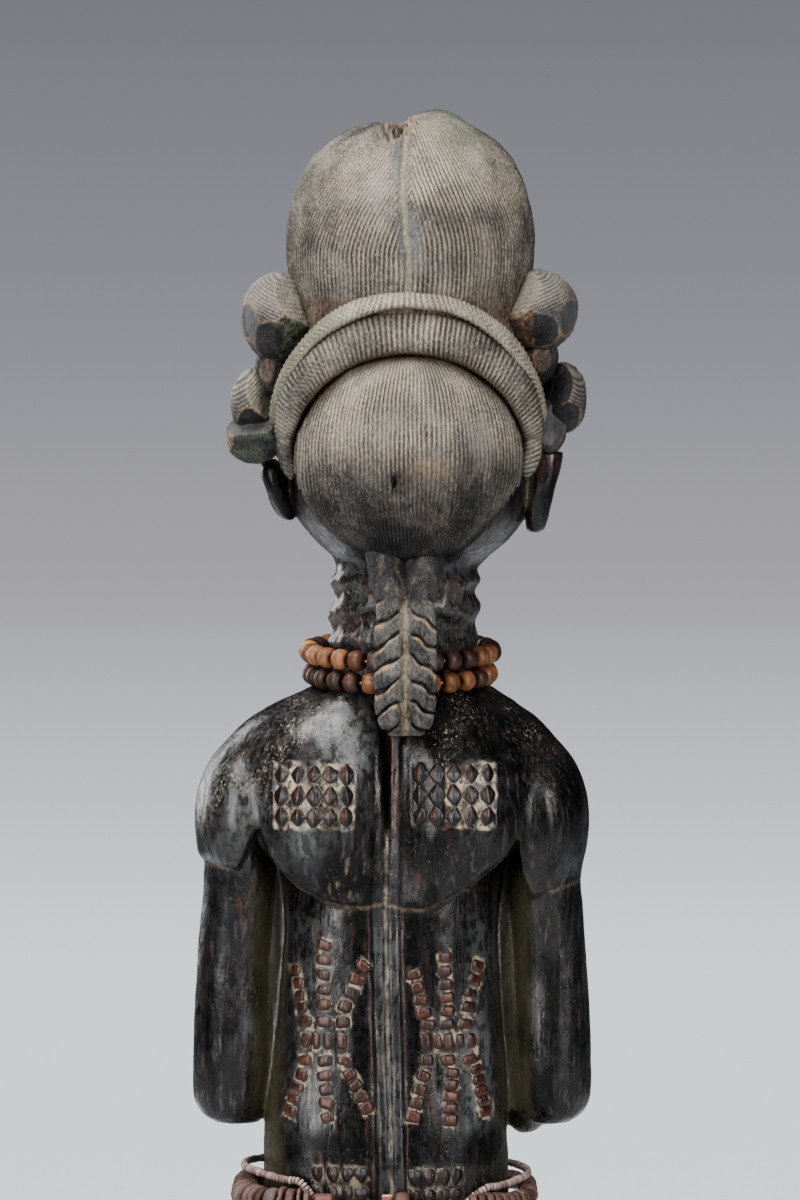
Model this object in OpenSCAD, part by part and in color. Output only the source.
// Standing carved wooden figure with a bead necklace of two strands and a belt of
// waist strands. The figure is one block of wood. Its back is towards +Y.

/* [Figure] */
// Height of the figure from the underside of its base to the crest of the hair
figure_h = 494; // [420:1:620]
// Sides of each carved form; more sides make it rounder
form_sides = 22; // [16:2:28]

/* [Necklace] */
// Diameter of a necklace bead across its bore
bead_d = 6.5; // [6:0.1:6.5]
// Length of a necklace bead along its bore
bead_len = 5.6; // [4.8:0.1:5.7]
// Beads on the upper strand
upper_beads = 29; // [26:1:29]
// Beads on the lower strand
lower_beads = 27; // [24:1:27]
// Diameter of the necklace thread
thread_d = 1.0; // [0.8:0.1:1.2]
// Backward tilt of both strands, in degrees
necklace_tilt = 4; // [4:0.5:5]

/* [Belt] */
// Diameter of the belt cord
cord_d = 1.2; // [1:0.1:1.4]
// Diameter of the largest discs on the cord
disc_d = 9.5; // [8:0.1:9.5]
// Diameter of the strands of tiny shell discs
shell_d = 2.4; // [2:0.1:2.4]

/* [Hidden] */

k = figure_h / 494; // every length below is for a figure 494 high

wood_color = "#2b2624";
dark_bead_color = "#4a2e24";
tan_bead_color = "#9a5a2a";
amber_bead_color = "#d89a3c";
thread_color = "#c9b48e";
coconut_color = "#6b5148";
stone_color = "#8a5a50";
red_color = "#9a3c38";
shell_color = "#a58f8a";

// ---------------------------------------------------------------- shared forms

// Catmull-Rom blend of one column of the station table
function blend(a, b, c, d, t) =
    0.5 * (2 * b + (c - a) * t + (2 * a - 5 * b + 4 * c - d) * t * t
        + (3 * b - a - 3 * c + d) * t * t * t);
function station(st, i, t) =
    let (n = len(st) - 1, a = st[max(i - 1, 0)], b = st[i], c = st[i + 1], d = st[min(i + 2, n)])
    blend(a, b, c, d, t);
function smooth(st, steps) = concat(
    [for (i = [0 : len(st) - 2], j = [0 : steps - 1]) station(st, i, j / steps)],
    [st[len(st) - 1]]);
function power(v, e) = sign(v) * pow(abs(v), e);

// One cross-section: [height, centre x, centre y, half width, depth to the front,
// depth to the back, squareness], where a squareness of 2 is an ellipse
function section(s, sides) = [for (i = [0 : sides - 1])
    let (a = 360 * i / sides, c = power(cos(a), 2 / s[6]), q = power(sin(a), 2 / s[6]))
    [s[1] + s[3] * c, s[2] + (q < 0 ? s[4] : s[5]) * q, s[0]]];

// A solid through cross-sections stacked upwards
module loft(stations, steps = 1, sides = form_sides) {
    st = smooth(stations, steps);
    m = len(st);
    polyhedron(
        points = [for (s = st) each section(s, sides)],
        faces = concat(
            [[for (i = [0 : sides - 1]) i]],
            [[for (i = [0 : sides - 1]) m * sides - 1 - i]],
            [for (j = [0 : m - 2], i = [0 : sides - 1])
                let (n = (i + 1) % sides)
                [j * sides + i, (j + 1) * sides + i, (j + 1) * sides + n, j * sides + n]]),
        convexity = 8);
}

module egg(centre, radii, detail = 20) {
    translate(centre) scale(radii) sphere(r = 1, $fn = detail);
}

module ball(centre, r, detail = 12) {
    translate(centre) sphere(r = r, $fn = detail);
}

// A rounded limb through [centre, radius] pairs
module limb(joints, detail = 12) {
    for (i = [0 : len(joints) - 2]) hull() {
        ball(joints[i][0], joints[i][1], detail);
        ball(joints[i + 1][0], joints[i + 1][1], detail);
    }
}

module both_sides() {
    children();
    mirror([1, 0, 0]) children();
}

// ---------------------------------------------------------------- the figure

head_x = -5;      // the head stands a little off the body's centre line
base_top = 17;
leg_x = 20;
arm_x = 46;

module base_block() {
    loft([
        [0, 0, -5, 47, 40, 40, 2.3],
        [2, 0, -5, 49, 42, 42, 2.3],
        [14, 0, -5, 48, 41, 41, 2.3],
        [base_top, 0, -5, 46, 39, 39, 2.3]
    ]);
}

module leg() {
    loft([
        [15, leg_x, 3, 10, 9, 10, 2],
        [33, leg_x, 3, 9.5, 9, 9, 2],
        [45, leg_x, 2, 12, 10, 12, 2],
        [60, leg_x, -1, 15, 12, 17, 2],
        [75, leg_x, -5, 14, 12, 15, 2],
        [88, leg_x, -8, 14, 14, 13, 2],
        [98, leg_x, -8, 14.5, 14, 14, 2],
        [112, leg_x - 1, -4, 17, 18, 18, 2],
        [132, leg_x - 2, -1, 18.5, 21, 24, 2.1],
        [152, leg_x - 4, 0, 19, 22, 25, 2.2]
    ]);
    // foot with its toes
    hull() {
        egg([leg_x, 7, 22], [10, 9, 8], 16);
        egg([leg_x + 1, -20, 20], [11.5, 12, 5.5], 16);
    }
    for (i = [-2 : 2])
        limb([
            [[leg_x + 1 + i * 4.4, -24, 20], 3.2],
            [[leg_x + 1 + i * 4.8, -33 + abs(i - 1) * 1.2, 19.5], 2.6]
        ], 8);
}

module trunk() {
    loft([
        [140, 0.5, 0, 32, 22, 24, 2.2],
        [152, 0.5, 0, 35.5, 25, 27, 2.3],
        [168, 1.5, 0, 36.3, 26, 28, 2.4],
        [190, 1.2, 0, 36.3, 27.5, 28, 2.4],
        [215, 0.5, 0, 34.5, 28.5, 27.5, 2.4],
        [240, 0, 0, 33, 27, 28, 2.4],
        [262, 0, 0, 34, 25.5, 30, 2.4],
        [285, 0, 0, 38, 25, 30, 2.3]
    ]);
    both_sides() egg([16, 10, 152], [18, 21, 17], 20);
}

// The shoulders overhang the back along a line that is lowest at the spine. They
// overhang each upper arm as well.
module shoulders() {
    intersection() {
        loft([
            [252, 0, 2, 57, 24, 34, 2.6],
            [266, 0, 2, 57.5, 25, 36, 2.6],
            [284, 0, 2, 58.5, 26, 35.5, 2.6],
            [293, 0, 2, 56, 25, 34, 2.5],
            [302, 0, 2, 52, 24, 31.5, 2.4],
            [311, -0.5, 2, 44, 22, 28, 2.3],
            [317, -2, 1, 33, 20, 25, 2.2],
            [320.5, -3, 0, 25, 19, 23, 2]
        ], steps = 2);
        rotate([90, 0, 0]) linear_extrude(height = 90, center = true) polygon(concat(
            [[62, 330], [-62, 330], [-62, 264], [-44, 264]],
            [for (x = [-38 : 4 : 38]) [x, 255.5 + 0.0115 * x * x]],
            [[44, 264], [62, 264]]));
    }
}

module arm() {
    loft([
        [191, arm_x - 3, -3, 5, 7, 5, 2],
        [195, arm_x - 1, -2, 10, 12, 9, 2.1],
        [203, arm_x, 0, 12.5, 13, 12, 2.2],
        [215, arm_x + 1, 1, 13, 13.5, 13, 2.2],
        [235, arm_x, 2, 12.8, 13, 13, 2.2],
        [255, arm_x - 1, 3, 12, 13, 13, 2.2],
        [278, arm_x - 2, 3, 11, 12, 12, 2.2]
    ], steps = 2);
    limb([
        [[arm_x - 2, -5, 201], 9.5],
        [[arm_x - 10, -22, 200], 8.5],
        [[27, -31, 203], 7]
    ], 12);
    // hand laid on the belly
    hull() {
        egg([26, -31, 204], [6, 5, 8], 12);
        egg([17, -33, 207], [6, 3.5, 8.5], 12);
    }
    for (i = [0 : 3])
        limb([
            [[18, -33.5, 201 + i * 4.2], 2.4],
            [[7.5, -33, 202 + i * 4.2], 2]
        ], 8);
}

module chest() {
    both_sides() {
        egg([16, -20, 276], [14, 12, 17], 16);
        limb([[[17, -25, 272], 8], [[18, -33, 266], 4.5]], 10);
    }
    limb([[[0, -26, 214], 6], [[0, -32, 212], 3.5]], 10);
}

module neck() {
    loft([
        [312, head_x + 1, 0, 22, 19, 20, 2],
        [322, head_x + 1, 0, 20.5, 18, 19.5, 2],
        [334, head_x + 1, 0, 20.5, 18, 19.5, 2],
        [344, head_x + 1, 0, 22, 18, 21, 2],
        [362, head_x, -1, 23, 20, 24, 2]
    ], steps = 2);
}

module head() {
    loft([
        [346, head_x, -22, 7, 11, 8, 2],
        [351, head_x, -17, 16, 19, 18, 2],
        [360, head_x, -9, 25, 28, 27, 2.1],
        [375, head_x, -4, 32, 34, 36, 2.1],
        [392, head_x, -3, 36, 35, 38, 2.1],
        [412, head_x, -3, 36, 33, 38, 2.1],
        [430, head_x, -2, 33, 27, 33, 2.1]
    ], steps = 2);
    // nose and mouth
    limb([
        [[head_x, -36, 400], 3],
        [[head_x, -40, 380], 4],
        [[head_x, -40, 374], 4.6]
    ], 12);
    hull() {
        egg([head_x - 4, -36.5, 363], [4, 4, 3], 12);
        egg([head_x + 4, -36.5, 363], [4, 4, 3], 12);
    }
    for (s = [-1, 1]) {
        egg([head_x + s * 15, -30, 389], [8, 6, 5.5], 16);
        // ear, a curved flange that stands off the head
        hull() {
            egg([head_x + s * 35, 0, 388], [7, 5, 4], 14);
            egg([head_x + s * 42, -3, 385], [3, 7, 5], 14);
            egg([head_x + s * 33, -2, 374], [5, 6, 4], 14);
        }
    }
}

module hair() {
    // tall crest
    loft([
        [426, head_x, -1, 32, 31, 33, 2.1],
        [440, head_x - 1, 0, 36.5, 35, 36.5, 2.1],
        [456, head_x - 1, 0, 37.6, 36, 37, 2.1],
        [470, head_x - 1, 0, 34.5, 33.5, 34, 2.1],
        [481, head_x - 1, 1, 28.5, 28, 28, 2.1],
        [488, head_x - 2, 1, 20.5, 20.5, 20.5, 2.1],
        [494, head_x - 4, 2, 10.5, 11, 10.5, 2.1]
    ], steps = 2);
    // knot at the back of the head, framed by a roll
    egg([head_x, 12, 389], [34, 37, 31], 22);
    for (i = [-6 : 5]) {
        a0 = 90 + i * 18;
        a1 = a0 + 18;
        hull() for (a = [a0, a1])
            ball([head_x + 35 * cos(a), 13 + 6 * sin(a), 393 + 33 * sin(a)],
                4 + 3.5 * max(sin(a), 0), 10);
    }
    // tufts at the sides
    for (s = [-1, 1]) {
        hull() {
            egg([head_x + s * 31, 10, 428], [9, 11, 9], 12);
            egg([head_x + s * 40, 6, 433], [11, 14, 11.5], 14);
        }
        egg([head_x + s * 45, -6, 406], [8.5, 12, 12], 12);
    }
    hull() {
        ball([head_x + 36, 8, 401], 7, 12);
        ball([head_x + 49, 14, 397], 3, 10);
    }
    hull() {
        egg([head_x - 38, 6, 400], [6, 7, 8], 12);
        egg([head_x - 46, 8, 400], [4, 4, 7], 12);
    }
}

// A plait that stands clear of the nape, so that the necklace can pass behind it
module plait() {
    x = head_x + 1;
    steps = [
        [354, 20, 7, 9], [344, 27, 8.5, 8], [334, 35.5, 9, 5.2], [322, 37, 9, 5.2],
        [314, 36.5, 8.5, 5], [309, 35.5, 6.5, 4.5]
    ];
    for (i = [0 : len(steps) - 2]) hull() for (s = [steps[i], steps[i + 1]])
        egg([x, s[1], s[0]], [s[2], s[3], 4], 14);
}

module figure() {
    color(wood_color) scale(k) union() {
        base_block();
        both_sides() leg();
        trunk();
        shoulders();
        both_sides() arm();
        chest();
        neck();
        head();
        hair();
        plait();
    }
}

// ---------------------------------------------------------------- the necklace

neck_axis = [-2.5, 0];
// [radius of the strand, its height on the neck's axis]
upper_strand = [27.4, 331.6];
lower_strand = [26.4, 324.9];
bore_clearance = 0.35;

module place_strand(strand) {
    translate([neck_axis[0], neck_axis[1], strand[1]]) rotate([-necklace_tilt, 0, 0]) children();
}

// The beads are unequal, so each has a size factor that repeats along the strand
function bead_size(i) = 1 - 0.035 * abs(sin(i * 77)) ;
// An oblate bead with a bore for the thread
module bead(size) {
    difference() {
        intersection() {
            sphere(d = bead_d * size, $fn = 40);
            cube([bead_d + 1, bead_len * size, bead_d + 1], center = true);
        }
        rotate([90, 0, 0])
            cylinder(d = thread_d + 2 * bore_clearance, h = bead_d + 2, center = true, $fn = 24);
    }
}

module strand_beads(strand, count, first, chosen) {
    scale(k) place_strand(strand)
        for (i = [0 : count - 1]) if (search(i, chosen) != [])
            rotate([0, 0, first + 360 * i / count]) translate([strand[0], 0, 0])
                bead(bead_size(i));
}

module strand_thread(strand) {
    scale(k) place_strand(strand) rotate_extrude($fn = 96)
        translate([strand[0], 0]) circle(d = thread_d, $fn = 16);
}

// Beads of the paler wood on each strand; the rest are dark
upper_tan = [1, 2, 3, 4, 5, 7, 12, 13, 17, 19, 22, 25, 26];
lower_tan = [5, 6, 8, 9, 10, 12, 13, 16, 19, 20, 24];
amber_place = 0; // on the upper strand, at the figure's side

function others(count, taken) = [for (i = [0 : count - 1]) if (search(i, taken) == []) i];

module necklace_upper_thread() { color(thread_color) strand_thread(upper_strand); }
module necklace_lower_thread() { color(thread_color) strand_thread(lower_strand); }
module necklace_upper_dark_beads() {
    color(dark_bead_color) strand_beads(upper_strand, upper_beads, 0,
        others(upper_beads, concat(upper_tan, [amber_place])));
}
module necklace_upper_tan_beads() {
    color(tan_bead_color) strand_beads(upper_strand, upper_beads, 0, upper_tan);
}
module necklace_amber_bead() {
    color(amber_bead_color) strand_beads(upper_strand, upper_beads, 0, [amber_place]);
}
module necklace_lower_dark_beads() {
    color(dark_bead_color) strand_beads(lower_strand, lower_beads, 4,
        others(lower_beads, lower_tan));
}
module necklace_lower_tan_beads() {
    color(tan_bead_color) strand_beads(lower_strand, lower_beads, 4, lower_tan);
}

// ---------------------------------------------------------------- the belt

belt_z = 168.6;
belt_x = 1.5;
belt_half_w = 42.5;
belt_half_d = 33.5;
corner_r = 20;
back_half = belt_half_w - corner_r;  // half of the straight run across the back
side_half = belt_half_d - corner_r;
corner_len = corner_r * PI / 2;
loop_len = 4 * (back_half + side_half + corner_len);

// Point and heading on the cord at a distance along it. It starts at the middle
// of the back and runs towards +X, the figure's left.
function quarter_run(a, b) = a + b + corner_len;
function cord_at(d) =
    let (s = ((d % loop_len) + loop_len) % loop_len,
         q = loop_len / 4,
         // the loop is symmetric, so a quarter is worked out and mirrored
         n = floor(s / q), r = n % 2 == 0 ? s - n * q : (n + 1) * q - s,
         p = r < back_half ? [r, belt_half_d, 0]
            : r < back_half + corner_len
                ? let (t = (r - back_half) / corner_len * 90)
                  [back_half + corner_r * sin(t), side_half + corner_r * cos(t), t]
                : [belt_half_w, side_half - (r - back_half - corner_len), 90])
    n == 0 ? [p[0], p[1], -p[2]]
    : n == 1 ? [p[0], -p[1], -180 + p[2]]
    : n == 2 ? [-p[0], -p[1], 180 - p[2]]
    : [-p[0], p[1], p[2]];

// Children stand on the cord with their bore along it
module on_cord(d) {
    c = cord_at(d);
    translate([belt_x + c[0], c[1], belt_z]) rotate([0, 0, c[2]]) children();
}

module tube_bead(length, d) {
    rotate([0, 90, 0]) difference() {
        cylinder(d = d, h = length, center = true, $fn = 40);
        cylinder(d = cord_d + 0.9, h = length + 1, center = true, $fn = 24);
    }
}

module belt_cord() {
    color(thread_color) scale(k) translate([belt_x, 0, belt_z]) {
        for (s = [-1, 1]) {
            translate([0, s * belt_half_d, 0]) rotate([0, 90, 0])
                cylinder(d = cord_d, h = 2 * back_half, center = true, $fn = 20);
            translate([s * belt_half_w, 0, 0]) rotate([90, 0, 0])
                cylinder(d = cord_d, h = 2 * side_half, center = true, $fn = 20);
        }
        for (a = [0 : 3])
            translate([(a == 0 || a == 3 ? 1 : -1) * back_half, (a < 2 ? 1 : -1) * side_half, 0])
                rotate([0, 0, a * 90]) rotate_extrude(angle = 90, $fn = 96)
                    translate([corner_r, 0]) circle(d = cord_d, $fn = 20);
    }
}

// Distances along the cord, from the middle of the back towards +X
red_tube_at = 18.9;
red_tube_len = 6;
striped_at = 0;
striped_len = 3.6;
round_at = -4.5;
round_len = 4.8;
round_d = 6.6;
discs_from = 22.8;
discs_to = 106;
knot_at = 114.5;
small_from = 118;
small_to = loop_len - 24;

// The run of big discs: each takes its length and a gap, and every fifth is a barrel
disc_lengths = [2.2, 1.5, 3.0, 1.8, 4.6];
disc_sizes = [0.84, 0.95, 0.9, 1.0, 0.88];
disc_cycle = 14.2; // the lengths above with a gap of 0.22 after each
function upto(i) = i == 0 ? 0 : upto(i - 1) + disc_lengths[(i - 1) % 5] + 0.22;
disc_count = floor((discs_to - discs_from) / disc_cycle) * 5;

module big_disc(i) {
    on_cord(discs_from + upto(i) + disc_lengths[i % 5] / 2)
        tube_bead(disc_lengths[i % 5] - corner_gap, disc_d * disc_sizes[i % 5]);
}
corner_gap = 0.5; // discs fan open on a corner, so each is a little shorter than its place

module belt_coconut_discs() {
    color(coconut_color) scale(k)
        for (i = [0 : disc_count - 1]) if (i % 5 != 4) big_disc(i);
}
module belt_stone_barrels() {
    color(stone_color) scale(k)
        for (i = [0 : disc_count - 1]) if (i % 5 == 4) big_disc(i);
}

small_len = 2.4;
small_count = floor((small_to - small_from) / small_len);
module belt_small_discs() {
    color(coconut_color) scale(k) for (i = [0 : small_count - 1])
        on_cord(small_from + (i + 0.5) * small_len)
            tube_bead(small_len - corner_gap, 5.6 + 0.5 * sin(i * 67));
}

module belt_knot() {
    color(thread_color) scale(k) on_cord(knot_at) difference() {
        hull() {
            sphere(d = 3, $fn = 20);
            translate([1.2, 0, -1.4]) sphere(d = 2.2, $fn = 20);
        }
        rotate([0, 90, 0]) cylinder(d = cord_d + 0.2, h = 12, center = true, $fn = 20);
    }
}

module belt_red_tube_bead() {
    color(red_color) scale(k) on_cord(red_tube_at) tube_bead(red_tube_len, 5.8);
}
module belt_striped_tube_bead() {
    color(red_color) scale(k) on_cord(striped_at) tube_bead(striped_len, 5.2);
}
module belt_round_bead() {
    color(coconut_color) scale(k) on_cord(round_at) intersection() {
        rotate([0, 90, 0]) difference() {
            sphere(d = round_d, $fn = 40);
            cylinder(d = cord_d + 0.9, h = round_d + 1, center = true, $fn = 24);
        }
        cube([round_len, round_d + 1, round_d + 1], center = true);
    }
}

// ---------------------------------------------------------------- shell strands

// A strand of tiny discs is one solid tube here. Its loop is a rounded oval whose
// height and reach vary around it: [angle from the back, height, half width, half depth].
// The angle grows towards +X.
shell_sides = 8;
shell_rings = 60;
function around(table, a) =
    let (n = len(table) - 1,
         i = [for (j = [0 : n - 1]) if (a >= table[j][0] && a < table[j + 1][0]) j][0],
         t = (a - table[i][0]) / (table[i + 1][0] - table[i][0]), w = (1 - cos(180 * t)) / 2)
    table[i] + (table[i + 1] - table[i]) * w;
function shell_point(table, a) =
    let (s = around(table, a), c = power(cos(a), 2 / 2.5), q = power(sin(a), 2 / 2.5))
    [belt_x + s[2] * q, s[3] * c, s[1]];

module shell_strand(table) {
    turn = 360 / shell_rings;
    pts = [for (i = [0 : shell_rings - 1]) shell_point(table, i * turn)];
    rings = [for (i = [0 : shell_rings - 1])
        let (h = pts[(i + 1) % shell_rings] - pts[(i + shell_rings - 1) % shell_rings],
             t = h / norm(h), side = cross(t, [0, 0, 1]), u = side / norm(side),
             v = cross(u, t))
        [for (j = [0 : shell_sides - 1])
            let (b = 360 * j / shell_sides)
            pts[i] + shell_d / 2 * (cos(b) * u + sin(b) * v)]];
    polyhedron(
        points = [for (r = rings) each r],
        faces = [for (i = [0 : shell_rings - 1], j = [0 : shell_sides - 1])
            let (m = (i + 1) % shell_rings, n = (j + 1) % shell_sides)
            [i * shell_sides + j, i * shell_sides + n, m * shell_sides + n, m * shell_sides + j]],
        convexity = 8);
}

shell_upper = [[0, 164.7, 40, 30.3], [20, 165, 40, 30.3], [36, 174.6, 41.5, 32.5],
    [75, 176.6, 43, 33], [180, 175.2, 42, 33.5], [285, 174.0, 42.5, 33.5],
    [318, 172.6, 42.5, 33.5], [335, 166.4, 40, 30.8], [360, 164.7, 40, 30.3]];
shell_middle = [[0, 161.6, 40.5, 31.4], [60, 161, 42, 33], [180, 160.8, 42, 33],
    [300, 161.2, 42.5, 33.5], [360, 161.6, 40.5, 31.4]];
shell_lower = [[0, 158.2, 41, 32.8], [90, 157.6, 42, 33.5], [180, 156.8, 42, 33.5],
    [270, 157.4, 42, 33.5], [360, 158.2, 41, 32.8]];

module shell_strand_upper() { color(shell_color) scale(k) shell_strand(shell_upper); }
module shell_strand_middle() { color(shell_color) scale(k) shell_strand(shell_middle); }
module shell_strand_lower() { color(shell_color) scale(k) shell_strand(shell_lower); }

// ---------------------------------------------------------------- nodes

figure();
necklace_upper_thread();
necklace_upper_dark_beads();
necklace_upper_tan_beads();
necklace_lower_thread();
necklace_lower_dark_beads();
necklace_lower_tan_beads();
necklace_amber_bead();
belt_cord();
belt_knot();
belt_coconut_discs();
belt_stone_barrels();
belt_small_discs();
belt_red_tube_bead();
belt_striped_tube_bead();
belt_round_bead();
shell_strand_upper();
shell_strand_middle();
shell_strand_lower();
